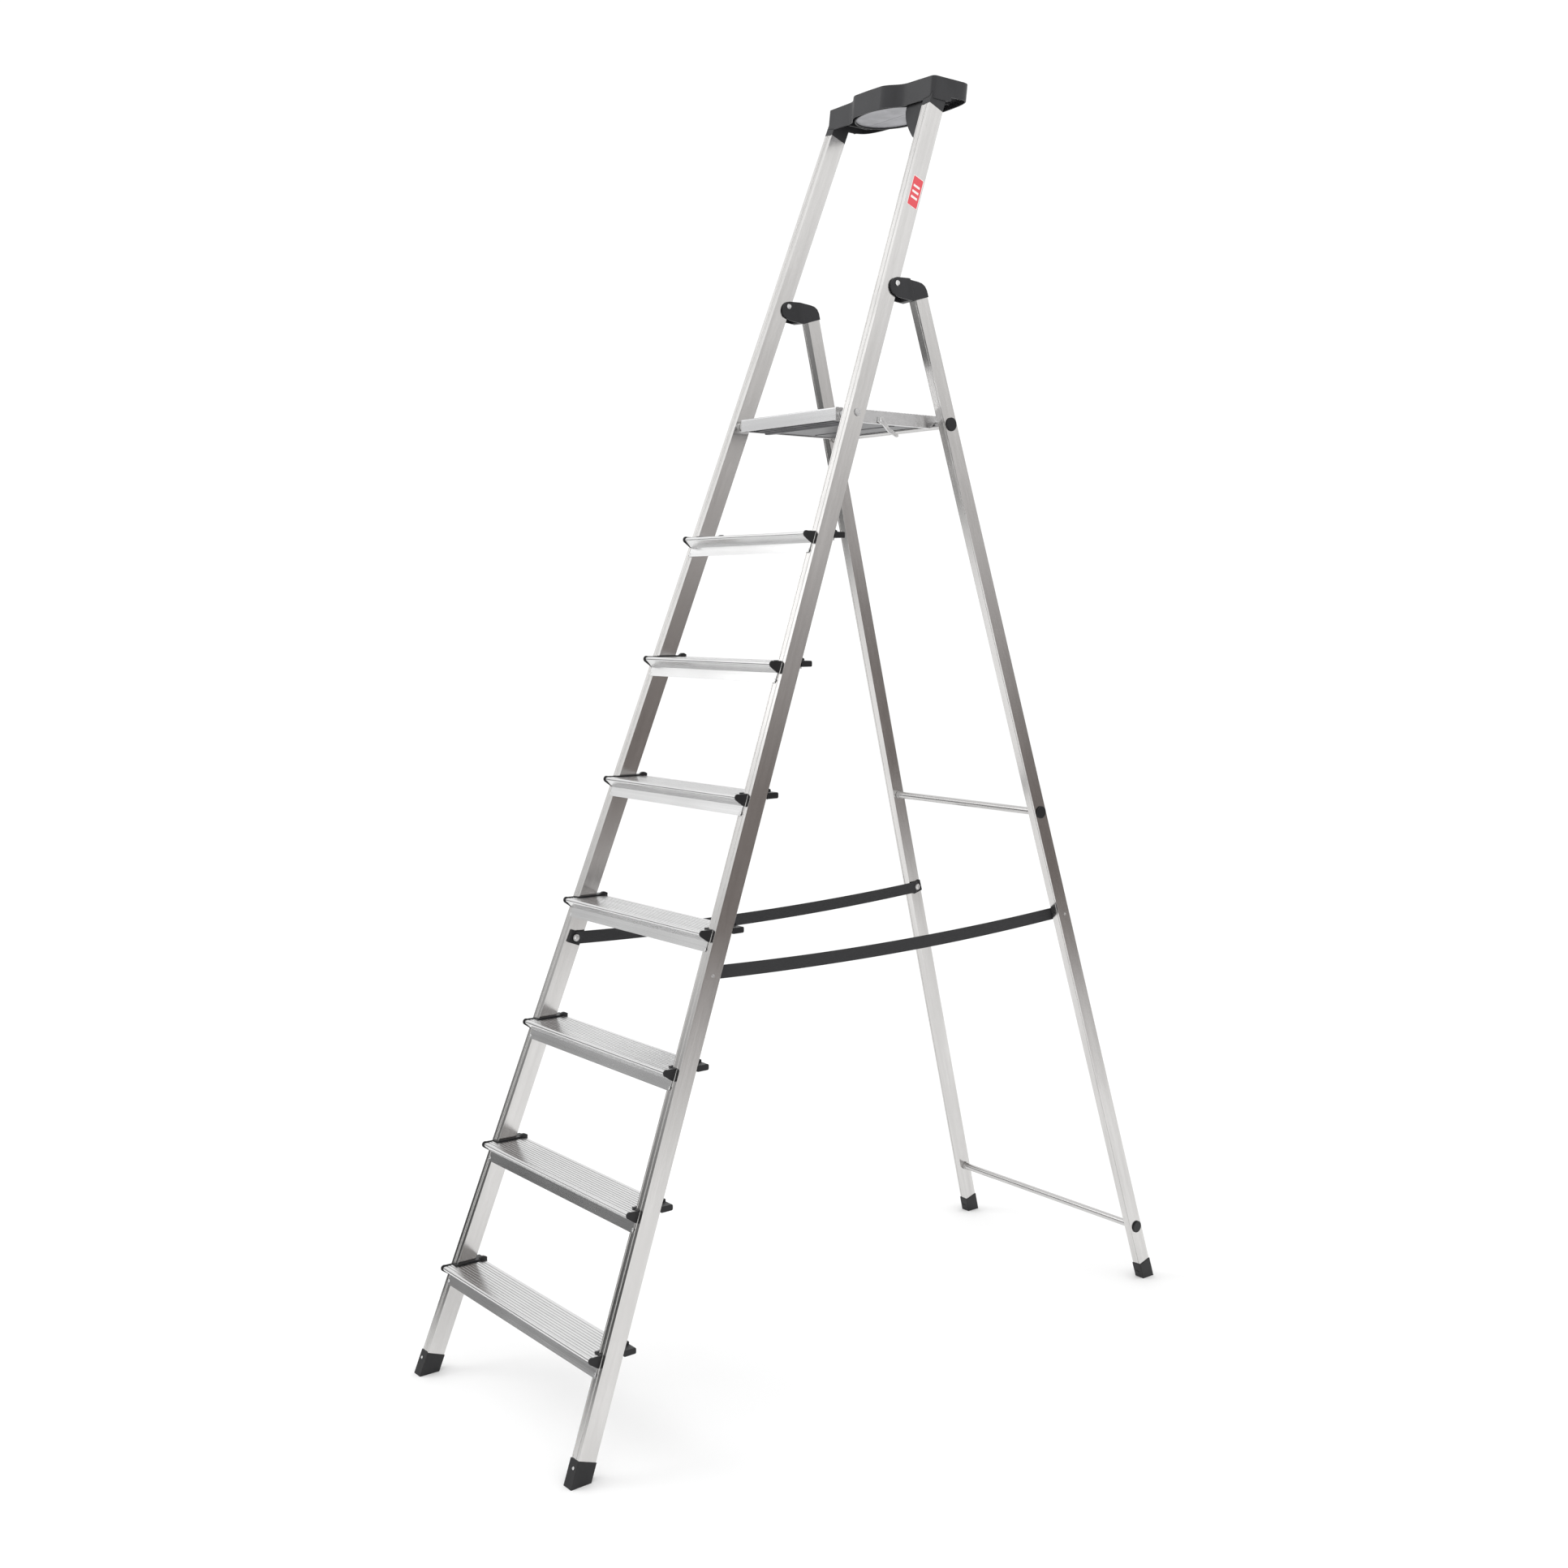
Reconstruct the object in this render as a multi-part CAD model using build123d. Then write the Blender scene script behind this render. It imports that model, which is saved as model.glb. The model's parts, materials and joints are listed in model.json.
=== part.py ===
"""Single-sided aluminium step ladder: seven steps, a folding platform and a tool tray."""
from build123d import *
import os
from math import atan, cos, degrees, radians, sin, tan

# ---------------------------------------------------------------- driving dimensions (mm)
# X runs to the climber's right, Y to the rear legs, Z up; the origin is on the floor,
# at the middle of the footprint.
FRONT_LEAN = 20.77          # front stiles, from vertical
REAR_LEAN = 16.56           # rear legs, from vertical
FRONT_FOOT_Y = -757.0       # front face of the stiles at the floor
REAR_FOOT_Y = 725.4         # front face of the rear legs at the floor

STEP_PITCH = 234.0
FIRST_STEP_TOP = 209.0
STEP_COUNT = 7
PLATFORM_TOP = 1845.0

STILE_HALF_SPREAD = 288.4   # outer face of a stile at the floor, from the middle
STILE_SPLAY = 0.0520        # inward run per unit of stile length
STILE_WIDTH = 22.0
STILE_DEPTH = 36.0
STILE_WALL = 1.8
STILE_BOTTOM = 16.0
STILE_TOP = 2592.0

LEG_HALF_SPREAD = 284.6
LEG_SPLAY = 0.0530
LEG_WIDTH = 20.0
LEG_DEPTH = 30.0
LEG_WALL = 1.5
LEG_BOTTOM = 12.0
LEG_TOP = 2152.0

TREAD_FRONT = 26.0          # nose in front of the stiles
TREAD_REAR = 56.0           # rear edge behind the stiles' front plane
TREAD_DROP = 37.0           # bottom of the front flange below the tread
NOSE_RADIUS = 4.0
SKIN = 2.0                  # thickness of the extruded tread skin
CAP_INSET = 8.5             # outside of an end cap, inboard of the stile's outer face
CAP_PLATE = 2.5
CAP_STRIP_WIDTH = 6.0
CAP_STRIP_HEIGHT = 2.6
CAP_PROUD = 2.3             # the cap's nose stands this far ahead of the tread
CAP_REAR = 62.6             # rear end of the bumper block
CAP_BLOCK_LOW = -10.0
CAP_BLOCK_HIGH = 1.0

HINGE_ALONG = 2231.5        # main hinge, measured up the stile
HINGE_DEPTH = 29.5          # behind the stile's front face
HINGE_BOLT_RADIUS = 4.0
RUNNING_FIT = 0.05
CHEEK = 3.2
CHEEK_GAP = 1.0

ROD_RADIUS = 7.5
ROD_PLACES = {"rod_lower": 123.0, "rod_middle": 1100.0, "rod_platform": 1901.0}
ROD_DEPTH = 15.0            # rod axis behind the leg's front face

AXLE_ALONG = 1967.0
AXLE_DEPTH = 17.0
AXLE_RADIUS = 5.0
PLATFORM_HALF_WIDTH = 145.0
PLATFORM_FRONT = 17.5       # front edge ahead of the axle
PLATFORM_REACH = 254.0      # rear edge behind the axle
PLATFORM_HEIGHT = 24.0
RAIL_WIDTH = 9.0
RAIL_WALL = 1.8

STRAP_WIDTH = 25.0
STRAP_THICK = 1.6
STRAP_SAG = 13.0
STRAP_HEIGHT = 828.5

TRAY_TOP = 2471.0
TRAY_BAND = 42.0
TRAY_HALF_WIDTH = 154.5
TRAY_FRONT_Y = 165.5        # front corners, at the bottom of the band
TRAY_WALL = 3.0
TRAY_BULGE = 30.0
TRAY_SIDE = 76.0            # length of the straight sides
TRAY_DEPTH = 113.0
TRAY_DISH = 16.0
TRAY_LEAN = 0.12            # the band leans back by this much per unit of height
WELL_HALF_WIDTH = 85.0
WELL_HALF_DEPTH = 62.0
WELL_Y = 206.0

os.makedirs("parts", exist_ok=True)

# ---------------------------------------------------------------- frames and helpers
lean = radians(FRONT_LEAN)
rear_lean = radians(REAR_LEAN)
stile_splay_angle = degrees(atan(STILE_SPLAY))
leg_splay_angle = degrees(atan(LEG_SPLAY))

# Right stile: local x inwards is negative, y is behind the front face, z runs up the stile.
stile_frame = (
    Plane((0, FRONT_FOOT_Y, 0), x_dir=(1, 0, 0), z_dir=(0, sin(lean), cos(lean))).location
    * Location((STILE_HALF_SPREAD, 0, 0), (0, -stile_splay_angle, 0))
)
leg_frame = (
    Plane((0, REAR_FOOT_Y, 0), x_dir=(1, 0, 0), z_dir=(0, -sin(rear_lean), cos(rear_lean))).location
    * Location((LEG_HALF_SPREAD, 0, 0), (0, -leg_splay_angle, 0))
)


def box(x0, x1, y0, y1, z0, z1):
    """Block between two corners."""
    return Pos((x0 + x1) / 2, (y0 + y1) / 2, (z0 + z1) / 2) * Box(x1 - x0, y1 - y0, z1 - z0)


def mirrored(shape):
    """The same piece on the other side of the ladder."""
    return mirror(shape, about=Plane.YZ)


def bar_x(radius, x0, x1, y, z):
    """Round bar lying along X."""
    return Pos((x0 + x1) / 2, y, z) * Rot(0, 90, 0) * Cylinder(radius, x1 - x0)


def slab_x(face_points, x0, x1):
    """Closed outline in Y and Z, carried along X."""
    wire = Polyline(*[(0, y, z) for y, z in face_points], close=True)
    return Pos(x0, 0, 0) * extrude(make_face(wire), (x1 - x0), dir=(1, 0, 0))


def outer_half(z):
    """Outer face of a stile at a height, from the middle."""
    return STILE_HALF_SPREAD - STILE_SPLAY * z / cos(lean)


def front_y(z):
    """Front face of the stiles at a height."""
    return FRONT_FOOT_Y + z * tan(lean)


def on_stile(along, depth):
    """Y and Z of a point in the stiles' side view."""
    return (
        FRONT_FOOT_Y + along * sin(lean) + depth * cos(lean),
        along * cos(lean) - depth * sin(lean),
    )


def on_leg(along, depth):
    """Y and Z of a point in the rear legs' side view."""
    return (
        REAR_FOOT_Y - along * sin(rear_lean) + depth * cos(rear_lean),
        along * cos(rear_lean) + depth * sin(rear_lean),
    )


def stile_envelope(grow):
    """The right stile as a plain bar, grown by a clearance."""
    bar = box(-STILE_WIDTH - grow, grow, -grow, STILE_DEPTH + grow, STILE_BOTTOM - grow, STILE_TOP)
    return stile_frame * bar


def leg_envelope(grow):
    """The right rear leg as a plain bar, grown by a clearance."""
    bar = box(-LEG_WIDTH - grow, grow, -grow, LEG_DEPTH + grow, LEG_BOTTOM - grow, LEG_TOP + grow)
    return leg_frame * bar


def save(shape, name, colour):
    """One STEP file for a node; several solids stay separate."""
    solids = shape if isinstance(shape, list) else [shape]
    node = solids[0] if len(solids) == 1 else Compound(children=solids)
    node.label = name
    node.color = Color(*colour)
    export_step(node, f"parts/{name}.step")


ALUMINIUM = (0.80, 0.80, 0.79)
STEEL = (0.86, 0.86, 0.86)
BLACK = (0.07, 0.07, 0.08)
GREY = (0.62, 0.62, 0.64)
DARK_GREY = (0.30, 0.30, 0.31)
RED = (0.80, 0.12, 0.16)

hinge_y, hinge_z = on_stile(HINGE_ALONG, HINGE_DEPTH)
axle_y, axle_z = on_stile(AXLE_ALONG, AXLE_DEPTH)
rod_y, rod_z = on_leg(ROD_PLACES["rod_platform"], ROD_DEPTH)
hinge_on_leg = (
    (hinge_z * cos(rear_lean)) - (hinge_y - REAR_FOOT_Y) * sin(rear_lean),
    (hinge_z * sin(rear_lean)) + (hinge_y - REAR_FOOT_Y) * cos(rear_lean),
)


# ---------------------------------------------------------------- front frame
def stile():
    """Right stile: box extrusion with two shallow grooves down its front face."""
    bar = box(-STILE_WIDTH, 0, 0, STILE_DEPTH, STILE_BOTTOM, STILE_TOP)
    hollow = box(
        -STILE_WIDTH + STILE_WALL, -STILE_WALL, STILE_WALL, STILE_DEPTH - STILE_WALL, 0, STILE_TOP + 1
    )
    recess = box(-STILE_WIDTH + 2.0, -11.5, -1, 0.7, 0, STILE_TOP + 1)
    groove = box(-9.2, -7.2, -1, 0.7, 0, STILE_TOP + 1)
    profile = stile_frame * (bar - hollow - recess - groove)
    hinge_hole = bar_x(HINGE_BOLT_RADIUS, 100, 250, hinge_y, hinge_z)
    axle_hole = bar_x(AXLE_RADIUS, 100, 250, axle_y, axle_z)
    strap_hole = bar_x(STRAP_BOLT_RADIUS, 150, 260, *strap_front)
    return profile - hinge_hole - axle_hole - strap_hole


def tread_outline(top):
    """Side outline of a step: rounded nose, slanting underside, front flange, rear web."""
    y0 = front_y(top)
    run = tan(lean)
    skin_along = SKIN / cos(lean)
    break_z = -20.0
    nose = [
        (-TREAD_FRONT + NOSE_RADIUS * (1 + cos(radians(a))), -NOSE_RADIUS + NOSE_RADIUS * sin(radians(a)))
        for a in range(90, 241, 15)
    ]
    rest = [
        (break_z * run - skin_along, break_z),
        (-TREAD_DROP * run - skin_along, -TREAD_DROP),
        (-TREAD_DROP * run, -TREAD_DROP),
        (-SKIN * run, -SKIN),
        (TREAD_REAR - SKIN, -SKIN),
        (TREAD_REAR - SKIN, -14.0),
        (TREAD_REAR, -14.0),
        (TREAD_REAR, 0.0),
    ]
    return [(y0 + y, top + z) for y, z in nose + rest]


def step(index):
    """One extruded step, cut round both stiles, with drip grooves along its top."""
    top = FIRST_STEP_TOP + index * STEP_PITCH
    y0 = front_y(top)
    reach = outer_half(top) - CAP_INSET - CAP_PLATE
    body = slab_x(tread_outline(top), -reach, reach)
    run = tan(lean)
    chamber = [
        (y0 - TREAD_FRONT + 6.0, top - SKIN),
        (y0 - SKIN * run - 3.2, top - SKIN),
        (y0 - 17.5 * run - 3.8, top - 17.5),
        (y0 - TREAD_FRONT + 9.0, top - 8.0),
    ]
    body -= slab_x(chamber, -reach - 1, reach + 1)
    for groove_index in range(TREAD_GROOVES):
        y = y0 - TREAD_FRONT + 7.0 + groove_index * TREAD_GROOVE_PITCH
        body -= box(-reach - 1, reach + 1, y, y + 2.4, top - 0.8, top + 1)
    lane = stile_frame * box(
        -STILE_WIDTH - 0.1, 80, -0.1, 120, STILE_BOTTOM, STILE_TOP
    )
    return body - lane - mirrored(lane)


def step_cap(index):
    """Plastic end cap: plugs the nose, runs along the stile's inner face, ends in a bumper."""
    top = FIRST_STEP_TOP + index * STEP_PITCH
    y0 = front_y(top)
    outer = outer_half(top)
    inner = outer - STILE_WIDTH
    outside = outer - CAP_INSET
    run = tan(lean)
    nose = [
        (
            y0 - TREAD_FRONT - CAP_PROUD + (NOSE_RADIUS + CAP_PROUD) * (1 + cos(radians(a))),
            top - NOSE_RADIUS + (NOSE_RADIUS + CAP_PROUD) * sin(radians(a)),
        )
        for a in range(90, 241, 15)
    ]
    plate_outline = nose + [
        (y0 - 20.0 * run - SKIN / cos(lean) - 0.9, top - 19.6),
        (y0 - 20.0 * run - 0.3, top - 19.6),
        (y0 - 0.3, top + 1.2),
        (y0 - TREAD_FRONT + 8.0, top + 1.6),
    ]
    plate = slab_x(plate_outline, outside - CAP_PLATE, outside)
    inboard = inner - CAP_STRIP_WIDTH
    bridge = box(inboard, outside, y0 - 4.5, y0 - 0.3, top, top + CAP_STRIP_HEIGHT - 1.0)
    strip = box(inboard, inner - 0.2, y0 - 4.5, y0 + CAP_REAR - 3, top, top + CAP_STRIP_HEIGHT)
    ear_outline = [
        (y0 + TREAD_REAR - 12, top + 0.0),
        (y0 + TREAD_REAR - 8, top + 4.5),
        (y0 + TREAD_REAR - 4, top + 6.8),
        (y0 + TREAD_REAR + 1, top + 6.8),
        (y0 + CAP_REAR, top + 4.0),
        (y0 + CAP_REAR, top + 0.0),
    ]
    ear = slab_x(ear_outline, inboard, inner - 0.2)
    block_front = y0 + STILE_DEPTH / cos(lean) + 0.4
    low = top + CAP_BLOCK_LOW
    high = top + CAP_BLOCK_HIGH
    rounded = [
        (y0 + CAP_REAR, low + 2.5),
        (y0 + CAP_REAR - 0.8, low + 0.8),
        (y0 + CAP_REAR - 2.5, low),
    ]
    rounded_top = [
        (y0 + CAP_REAR - 2.5, high),
        (y0 + CAP_REAR - 0.8, high - 0.8),
        (y0 + CAP_REAR, high - 2.5),
    ]
    block = slab_x(rounded + [(block_front, low), (block_front, high)] + rounded_top, inner - 0.5, outer)
    hook_front = y0 + TREAD_REAR + 0.3
    hook = slab_x(rounded + [(hook_front, low), (hook_front, high)] + rounded_top, inboard, inner)
    rear = block + hook
    cap = plate + bridge + strip + ear + rear - stile_envelope(0.1)
    return cap.solids().sort_by(SortBy.VOLUME)[-1]


def step_rivets():
    """Domed rivets through both ends of each step's front flange."""
    rivets = []
    for index in range(STEP_COUNT):
        top = FIRST_STEP_TOP + index * STEP_PITCH
        along = (top - 31.0) / cos(lean)
        inset = CAP_INSET + 6.0
        head = Cone(3.2, 2.0, 1.1, align=(Align.CENTER, Align.CENTER, Align.MIN))
        dome = stile_frame * Location((-inset, -SKIN, along), (90, 0, 0)) * head
        rivets += [dome, mirrored(dome)]
    return rivets


def front_foot():
    """Plastic boot over a stile end, its sole flat on the floor."""
    wall = 1.6
    boot = box(-STILE_WIDTH - wall, wall, -wall, STILE_DEPTH + wall, -30, FOOT_TOP)
    boot = fillet(boot.edges().filter_by(Axis.Z), 1.4)
    pocket = box(-STILE_WIDTH, 0, 0, STILE_DEPTH, STILE_BOTTOM, FOOT_TOP + 1)
    boot = stile_frame * (boot - pocket)
    ground = box(-600, 600, -1000, 1000, -200, 0)
    return boot - ground


def foot_rivet():
    """Rivet holding the boot, on its front face."""
    head = Cone(3.0, 2.0, 1.0, align=(Align.CENTER, Align.CENTER, Align.MIN))
    return stile_frame * Location((-8.2, -1.6, FOOT_TOP - 14), (90, 0, 0)) * head


# ---------------------------------------------------------------- straps
STRAP_BOLT_RADIUS = 3.0
strap_front = on_stile(STRAP_HEIGHT / cos(lean) + 11.0, 19.0)
strap_rear = on_leg(872.0, 17.0)
strap_inner_front = outer_half(strap_front[1]) - STILE_WIDTH
strap_inner_rear = LEG_HALF_SPREAD - LEG_SPLAY * 872.0 - LEG_WIDTH
strap_x = min(strap_inner_front, strap_inner_rear) - 3.6


def strap():
    """Webbing strap between stile and leg, hanging in a shallow curve."""
    (y0, z0), (y1, z1) = strap_front, strap_rear
    ym, zm = (y0 + y1) / 2, (z0 + z1) / 2 - STRAP_SAG
    line = ThreePointArc((0, y0, z0), (0, ym, zm), (0, y1, z1))
    half = STRAP_WIDTH / 2
    low = ThreePointArc((0, y0, z0 - half), (0, ym, zm - half), (0, y1, z1 - half))
    high = ThreePointArc((0, y1, z1 + half), (0, ym, zm + half), (0, y0, z0 + half))
    ends = [Line(low @ 1, high @ 0), Line(high @ 1, low @ 0)]
    band = extrude(make_face(Wire([low, ends[0], high, ends[1]])), STRAP_THICK, dir=(1, 0, 0))
    band = Pos(strap_x - STRAP_THICK, 0, 0) * band
    holes = bar_x(STRAP_BOLT_RADIUS + 0.2, 150, 260, y0, z0) + bar_x(STRAP_BOLT_RADIUS + 0.2, 150, 260, y1, z1)
    return band - holes, line.length


def strap_plate(place, inner_face, tilt):
    """Square plastic plate between the webbing and the frame."""
    y, z = place
    plate = box(strap_x + 0.1, inner_face, -13, 13, -13, 13)
    plate = fillet(plate.edges().filter_by(Axis.X), 2.0)
    plate = Pos(0, y, z) * Rot(tilt, 0, 0) * plate
    hole = bar_x(STRAP_BOLT_RADIUS, 150, 260, y, z)
    return plate - hole - stile_envelope(0.05) - leg_envelope(0.05)


def strap_bolt(place, outer_face):
    """Bolt through the strap end, with a low domed head on the inside."""
    y, z = place
    shank = bar_x(STRAP_BOLT_RADIUS, strap_x - STRAP_THICK - 1.2, outer_face - 1.0, y, z)
    head = Pos(strap_x - STRAP_THICK - 1.2, y, z) * Rot(0, -90, 0) * Cone(
        4.6, 3.0, 2.2, align=(Align.CENTER, Align.CENTER, Align.MIN)
    )
    return shank + head


def strap_washer(place):
    """Wide flat washer under a strap bolt's head."""
    y, z = place
    x1 = strap_x - STRAP_THICK
    return bar_x(7.0, x1 - 1.2, x1, y, z) - bar_x(STRAP_BOLT_RADIUS, x1 - 3, x1 + 3, y, z)


# ---------------------------------------------------------------- rear frame
def rear_leg():
    """Right rear leg: rectangular tube with a groove beside its front corner."""
    bar = box(-LEG_WIDTH, 0, 0, LEG_DEPTH, LEG_BOTTOM, LEG_TOP)
    hollow = box(-LEG_WIDTH + LEG_WALL, -LEG_WALL, LEG_WALL, LEG_DEPTH - LEG_WALL, 0, LEG_TOP + 1)
    groove = box(-4.6, -3.2, -1, 0.6, 0, LEG_TOP + 1)
    leg = leg_frame * (bar - hollow - groove)
    for along in ROD_PLACES.values():
        leg -= bar_x(ROD_RADIUS, 100, 320, *on_leg(along, ROD_DEPTH))
    return leg - bar_x(STRAP_BOLT_RADIUS, 150, 260, *strap_rear)


def leg_face(along, inset=0.0):
    """Outer face of a rear leg at a place along it, from the middle."""
    return LEG_HALF_SPREAD - LEG_SPLAY * along - inset


def cross_rod(along):
    """Tube between the rear legs, with a rolled bead against each inner face."""
    y, z = on_leg(along, ROD_DEPTH)
    reach = leg_face(along) - 0.6
    tube = bar_x(ROD_RADIUS, -reach, reach, y, z) - bar_x(ROD_RADIUS - 1.5, -reach - 1, reach + 1, y, z)
    inner = leg_face(along, LEG_WIDTH) - 1.0
    bead = bar_x(ROD_RADIUS + 1.6, inner - 3.2, inner, y, z) - bar_x(ROD_RADIUS - 0.5, 0, 320, y, z)
    return tube + bead + mirrored(bead)


def rod_plug(along):
    """Domed plug in the end of a cross rod."""
    y, z = on_leg(along, ROD_DEPTH)
    face = leg_face(along)
    cap = Cylinder(13.0, 2.6, align=(Align.CENTER, Align.CENTER, Align.MIN))
    cap = fillet(cap.faces().sort_by(Axis.Z)[-1].edges(), 1.8)
    stem = Pos(0, 0, -9) * Cylinder(ROD_RADIUS - 1.5, 9.5, align=(Align.CENTER, Align.CENTER, Align.MIN))
    return Location((face + 0.65, y, z), (0, 90, 0)) * (cap + stem)


def rear_foot():
    """Plastic boot over a rear leg's end."""
    wall = 1.6
    boot = box(-LEG_WIDTH - wall, wall, -wall, LEG_DEPTH + wall, -20, REAR_FOOT_TOP)
    boot = fillet(boot.edges().filter_by(Axis.Z), 1.4)
    pocket = box(-LEG_WIDTH, 0, 0, LEG_DEPTH, LEG_BOTTOM, REAR_FOOT_TOP + 1)
    slot = box(-LEG_WIDTH + 5, -5, -wall - 1, -0.6, LEG_BOTTOM + 3, LEG_BOTTOM + 7)
    boot = leg_frame * (boot - pocket - slot)
    return boot - box(-600, 600, -1000, 1000, -200, 0)


def hinge_bracket():
    """Clevis cap on a rear leg's top, its two cheeks straddling the stile."""
    along, depth = hinge_on_leg
    step_out = outer_half(hinge_z) - leg_face(along)
    outer = step_out + CHEEK_GAP + CHEEK
    inner = step_out - STILE_WIDTH - CHEEK_GAP - CHEEK
    radius = 18.5
    nose = [
        (depth + radius * cos(radians(a)), along - 4.0 + radius * 0.95 * sin(radians(a)))
        for a in range(80, 211, 13)
    ]
    rear = LEG_DEPTH + 1.0
    outline = nose + [
        (depth - 3.7, along - 22.6),
        (depth + 30.0, along - 36.0),
        (rear, along - 36.0),
        (rear, along - 24.0),
        (rear - 2.6, along - 15.5),
        (rear - 8.5, along - 9.0),
        (rear - 17.0, along - 4.5),
        (rear - 27.0, along - 0.5),
        (depth + 30.0, along + 6.5),
    ]
    shell = slab_x(outline, inner, outer)
    slot = box(inner + CHEEK, outer - CHEEK, depth - 60, -23.0, along - 60, along + 60)
    socket = box(-LEG_WIDTH, 0, 0, LEG_DEPTH, LEG_TOP - 60, LEG_TOP)
    flank_out = box(1.8, 40, -10.0, 60, along - 90, along + 60)
    flank_in = box(-60, -LEG_WIDTH - 1.8, -10.0, 60, along - 90, along + 60)
    bracket = leg_frame * (shell - slot - socket - flank_out - flank_in)
    bore = bar_x(HINGE_BOLT_RADIUS + RUNNING_FIT, 100, 250, hinge_y, hinge_z)
    for turn in range(0, 38, 4):
        lane = Pos(0, hinge_y, hinge_z) * Rot(turn, 0, 0) * Pos(0, -hinge_y, -hinge_z) * stile_envelope(0.8)
        bracket -= lane
    return bracket.solids().sort_by(SortBy.VOLUME)[-1] - bore


# ---------------------------------------------------------------- hinge bolts and axle
def hinge_bolt():
    """Through bolt of the main hinge, a domed head outside and a nut inside."""
    face = outer_half(hinge_z)
    outside = face + CHEEK_GAP + CHEEK + 0.4
    inside = face - STILE_WIDTH - CHEEK_GAP - CHEEK - 0.4
    shank = bar_x(HINGE_BOLT_RADIUS, inside - 1, outside + 1, hinge_y, hinge_z)
    head = Cone(5.4, 3.4, 2.6, align=(Align.CENTER, Align.CENTER, Align.MIN))
    out = Location((outside, hinge_y, hinge_z), (0, 90, 0)) * head
    back = Location((inside, hinge_y, hinge_z), (0, -90, 0)) * head
    return shank + out + back


def platform_axle():
    """Axle tube across the stiles, turned over outside each of them."""
    face = outer_half(axle_z)
    tube = bar_x(AXLE_RADIUS, -face - 1.5, face + 1.5, axle_y, axle_z)
    flare = bar_x(7.0, face + 0.5, face + 1.8, axle_y, axle_z)
    return tube + flare + mirrored(flare)


def axle_sleeve():
    """Spacer tube between a stile and the platform."""
    inner = outer_half(axle_z) - STILE_WIDTH - 1.2
    ring = bar_x(8.0, PLATFORM_HALF_WIDTH + 0.6, inner, axle_y, axle_z)
    return ring - bar_x(AXLE_RADIUS, 100, 250, axle_y, axle_z) - stile_envelope(0.1)


# ---------------------------------------------------------------- platform
def platform_deck():
    """Ribbed deck plate with a deep front flange and a short rear one."""
    y0 = axle_y - PLATFORM_FRONT
    y1 = axle_y + PLATFORM_REACH
    top = PLATFORM_TOP
    outline = [
        (y0 + 2.5, top),
        (y0 + 0.7, top - 0.7),
        (y0, top - 2.5),
        (y0, top - PLATFORM_HEIGHT),
        (y0 + SKIN, top - PLATFORM_HEIGHT),
        (y0 + SKIN, top - 2.4),
        (y1 - SKIN, top - 2.4),
        (y1 - SKIN, top - 9.0),
        (y1, top - 9.0),
        (y1, top),
    ]
    deck = slab_x(outline, -PLATFORM_HALF_WIDTH, PLATFORM_HALF_WIDTH)
    count = int((y1 - y0 - 12) / DECK_GROOVE_PITCH)
    for index in range(count):
        y = y0 + 8.0 + index * DECK_GROOVE_PITCH
        deck -= box(-PLATFORM_HALF_WIDTH - 1, PLATFORM_HALF_WIDTH + 1, y, y + 3.0, top - 0.8, top + 1)
    return deck


def platform_rail():
    """Right side rail: a channel under the deck, with a saddle that drops over the rod."""
    y0 = axle_y - PLATFORM_FRONT + SKIN
    y1 = axle_y + PLATFORM_REACH - SKIN
    top = PLATFORM_TOP - 2.4
    low = PLATFORM_TOP - PLATFORM_HEIGHT
    x1 = PLATFORM_HALF_WIDTH
    rail = box(x1 - RAIL_WIDTH, x1, y0, y1, low, top)
    rail -= box(x1 - RAIL_WIDTH - 1, x1 - RAIL_WALL, y0 + 30, y1 + 1, low + RAIL_WALL, top - RAIL_WALL)
    gap = ROD_RADIUS + 0.6
    saddle = bar_x(gap, 100, 200, rod_y, rod_z)
    mouth = [
        (rod_y - gap * 0.87, rod_z + gap * 0.5),
        (rod_y - gap - 12, low - 1),
        (y1 + 5, low - 1),
        (y1 + 5, rod_z - 1),
        (rod_y + gap, rod_z),
    ]
    rail = rail - saddle - slab_x(mouth, 100, 200)
    latch_hole = bar_x(LATCH_BOLT_RADIUS, 100, 200, *latch_place)
    return rail - latch_hole - bar_x(AXLE_RADIUS + RUNNING_FIT, 100, 250, axle_y, axle_z)


def platform_pan():
    """Pressed closing panel on the deck's underside, with two stiffening beads."""
    y0 = axle_y + 14.0
    y1 = rod_y - 34.0
    half = PLATFORM_HALF_WIDTH - RAIL_WIDTH - 0.3
    low = PLATFORM_TOP - PLATFORM_HEIGHT + 2.0
    pan = box(-half, half, y0, y1, low, low + 1.5)
    walls = box(-half, half, y0, y0 + 1.5, low, PLATFORM_TOP - 2.4)
    walls += box(-half, half, y1 - 1.5, y1, low, PLATFORM_TOP - 2.4)
    for y in (y0 + 55, y1 - 55):
        pan += box(-half + 20, half - 20, y - 4, y + 4, low - 1.2, low)
    return pan + walls


def platform_stiffener():
    """Hat-section bar riveted under the pan."""
    y = axle_y + 36.0
    low = PLATFORM_TOP - PLATFORM_HEIGHT + 2.0
    outline = [
        (y - 14, low), (y - 14, low - 1.4), (y - 7, low - 1.4), (y - 5, low - 5.5),
        (y + 5, low - 5.5), (y + 7, low - 1.4), (y + 14, low - 1.4), (y + 14, low),
    ]
    half = PLATFORM_HALF_WIDTH - RAIL_WIDTH - 6.0
    return slab_x(outline, -half, half)


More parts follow.
